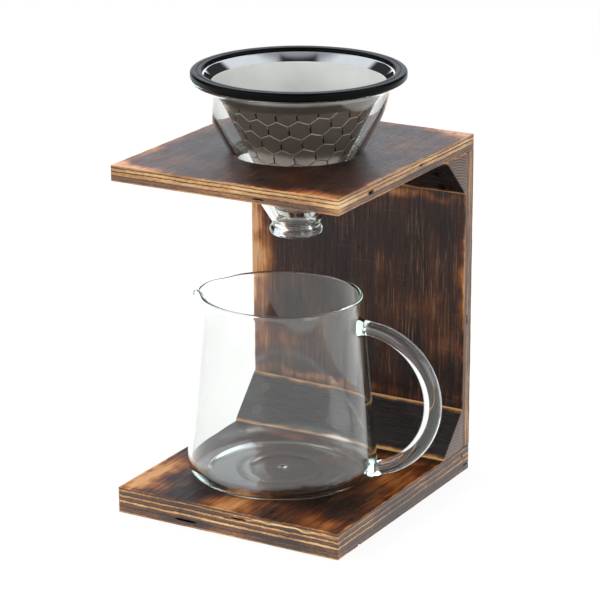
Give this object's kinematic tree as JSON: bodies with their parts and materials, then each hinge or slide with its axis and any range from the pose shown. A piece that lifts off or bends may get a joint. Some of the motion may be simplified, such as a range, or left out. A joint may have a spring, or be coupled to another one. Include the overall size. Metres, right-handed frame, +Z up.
{
  "type": "pour over coffee dripper",
  "caption": "Pour-over coffee set: plywood stand, conical glass dripper with a steel filter, and a glass server with a looped handle.",
  "frame": {"origin": "centre of the base board's underside", "axes": "+Z up; the stand opens towards -Y, with its back board at +Y; the server's handle is towards +X"},
  "size_m": [0.1597, 0.156, 0.245],
  "materials": {
    "burnt_plywood": "charred and brushed, semi-gloss varnish, lighter ply lines on the edges",
    "burnt_wood": "charred and brushed, semi-gloss varnish, tan arrises",
    "screw_steel": "zinc plated",
    "clear_glass": "clear, polished",
    "black_silicone": "satin black",
    "polished_steel": "mirror polished",
    "filter_steel": "bright sheet with a pressed honeycomb",
    "filter_mesh": "fine matte mesh"
  },
  "bodies": {
    "stand": {"base_board": "burnt_plywood", "back_board": "burnt_plywood", "top_board": "burnt_plywood", "lower_corner_block": "burnt_wood", "upper_corner_block": "burnt_wood", "lower_block_screws": "screw_steel", "upper_block_screws": "screw_steel", "top_board_brads": "screw_steel"},
    "server": {"server_jug": "clear_glass", "server_handle": "clear_glass"},
    "dripper": {"glass_dripper": "clear_glass"},
    "filter": {"silicone_ring": "black_silicone", "filter_collar": "polished_steel", "filter_outer_cone": "filter_steel", "filter_mesh_cone": "filter_mesh", "filter_tip_cap": "polished_steel"}
  },
  "joints": [
    {"name": "server_slide", "type": "slide", "parent": "stand", "child": "server", "axis": [0, -1, 0], "range_m": [0, 0.14]},
    {"name": "dripper_lift", "type": "slide", "parent": "stand", "child": "dripper", "axis": [0, 0, 1], "range_m": [0, 0.1]},
    {"name": "filter_lift", "type": "slide", "parent": "dripper", "child": "filter", "axis": [0, 0, 1], "range_m": [0, 0.09]}
  ]
}
